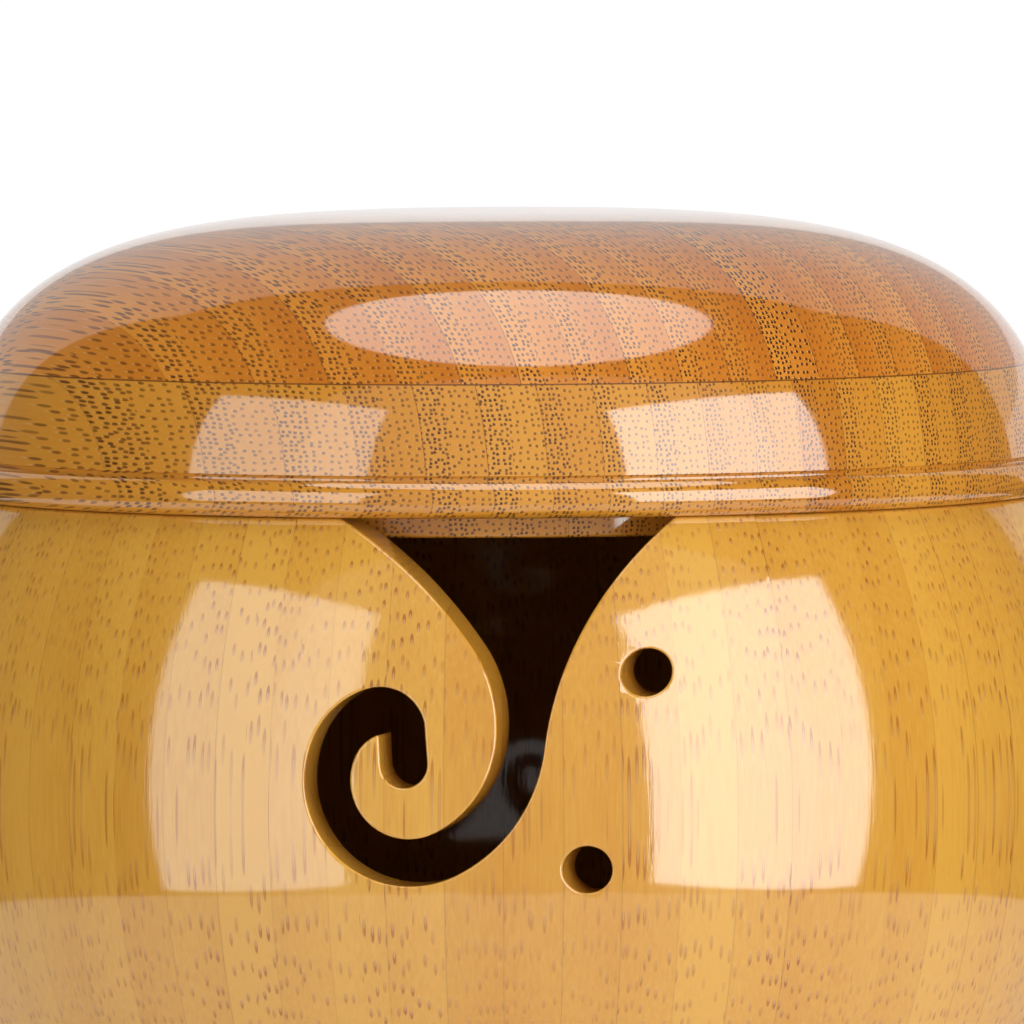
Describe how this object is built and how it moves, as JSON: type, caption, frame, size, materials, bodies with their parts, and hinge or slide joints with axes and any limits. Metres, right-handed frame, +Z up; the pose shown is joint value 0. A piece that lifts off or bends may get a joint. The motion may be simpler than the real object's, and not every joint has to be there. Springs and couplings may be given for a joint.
{
  "type": "lidded yarn bowl",
  "caption": "Round bamboo yarn bowl with a curled yarn slot, needle holes and a domed lift-off lid.",
  "frame": {"origin": "centre of the foot, on the table", "axes": "+Z up; the yarn slot and the needle holes are cut through the front wall along Y, and the front is towards -Y"},
  "size_m": [0.165, 0.165, 0.1365],
  "materials": {
    "bamboo_wall": "clear gloss lacquer over upright bamboo staves",
    "bamboo_base": "clear satin lacquer",
    "bamboo_lid_rim": "clear gloss lacquer over end grain",
    "bamboo_lid_crown": "clear gloss lacquer over long and end grain"
  },
  "bodies": {
    "bowl": {"slot_panel": "bamboo_wall", "staves_odd": "bamboo_wall", "staves_even": "bamboo_wall", "base_strip_1": "bamboo_base", "base_strip_2": "bamboo_base", "base_strip_3": "bamboo_base", "base_strip_4": "bamboo_base", "base_strip_5": "bamboo_base", "base_strip_6": "bamboo_base", "base_strip_7": "bamboo_base", "base_strip_8": "bamboo_base", "base_strip_9": "bamboo_base", "base_strip_10": "bamboo_base", "base_strip_11": "bamboo_base", "base_strip_12": "bamboo_base", "base_strip_13": "bamboo_base"},
    "lid": {"rim_strips_odd": "bamboo_lid_rim", "rim_strips_even": "bamboo_lid_rim", "crown_strip_1": "bamboo_lid_crown", "crown_strip_2": "bamboo_lid_crown", "crown_strip_3": "bamboo_lid_crown", "crown_strip_4": "bamboo_lid_crown", "crown_strip_5": "bamboo_lid_crown", "crown_strip_6": "bamboo_lid_crown", "crown_strip_7": "bamboo_lid_crown", "crown_strip_8": "bamboo_lid_crown", "crown_strip_9": "bamboo_lid_crown", "crown_strip_10": "bamboo_lid_crown", "crown_strip_11": "bamboo_lid_crown", "crown_strip_12": "bamboo_lid_crown", "crown_strip_13": "bamboo_lid_crown", "crown_strip_14": "bamboo_lid_crown", "crown_strip_15": "bamboo_lid_crown", "crown_strip_16": "bamboo_lid_crown", "crown_strip_17": "bamboo_lid_crown", "crown_strip_18": "bamboo_lid_crown", "crown_strip_19": "bamboo_lid_crown", "crown_strip_20": "bamboo_lid_crown", "crown_strip_21": "bamboo_lid_crown"}
  },
  "joints": [
    {"name": "lid_lift", "type": "slide", "parent": "bowl", "child": "lid", "axis": [0, 0, 1], "range_m": [0, 0.08]}
  ]
}
